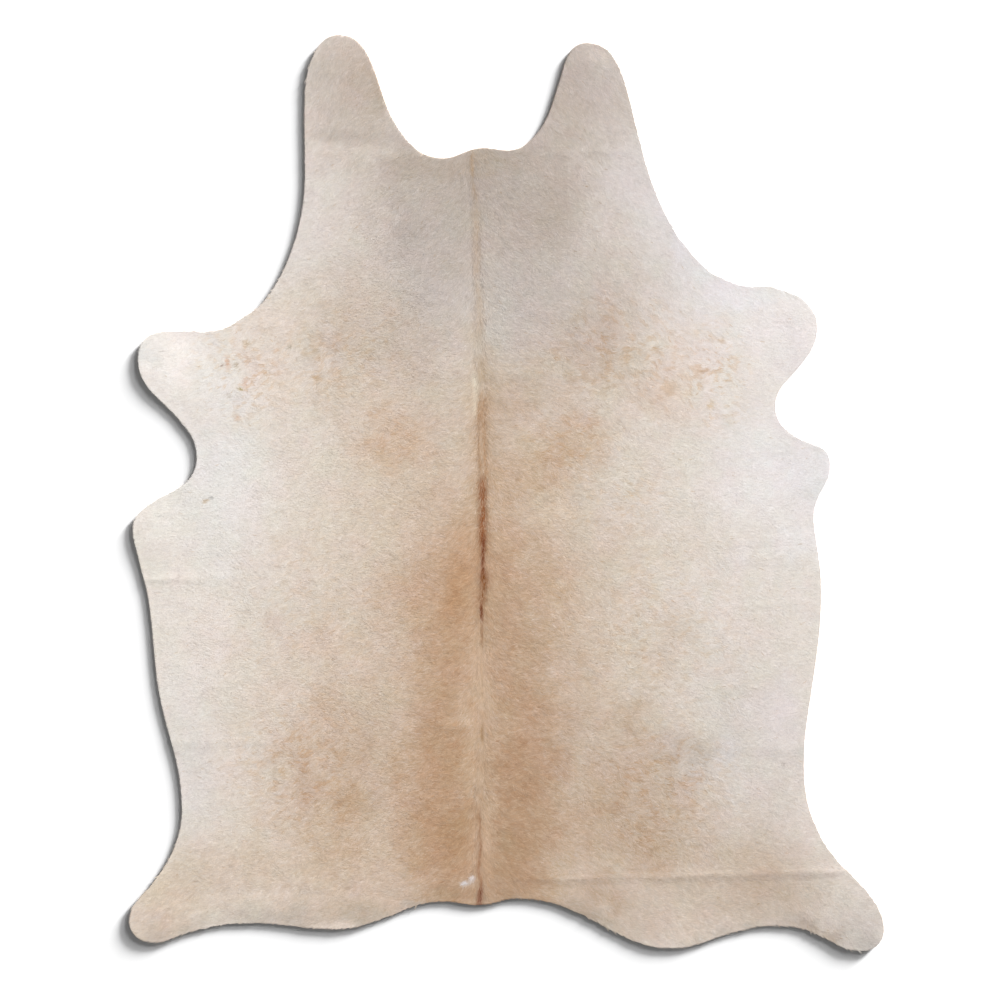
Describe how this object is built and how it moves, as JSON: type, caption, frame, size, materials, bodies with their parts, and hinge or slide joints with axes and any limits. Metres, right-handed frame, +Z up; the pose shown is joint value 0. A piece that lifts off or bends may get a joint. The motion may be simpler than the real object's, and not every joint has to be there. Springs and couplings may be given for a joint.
{
  "type": "cowhide rug",
  "caption": "Whole cowhide rug, hair side up, with its neck, leg and rump lobes, a cream and tan coat, a dark line on the backbone and soft packing ridges. It lies flat on a floor.",
  "frame": {"origin": "on the floor, under the middle of the outline's box", "axes": "+Z up out of the hair side; +Y along the backbone towards the neck; +X to the right of the backbone, seen from above with the neck at the top"},
  "size_m": [1.812, 2.196, 0.0088],
  "materials": {
    "coat": "short lying cow hair, cream at the edges and tan along the back, soft sheen",
    "flesh_side": "natural suede of the tanned underside and the cut edge"
  },
  "bodies": {
    "root": {"hide": "coat"}
  },
  "joints": []
}
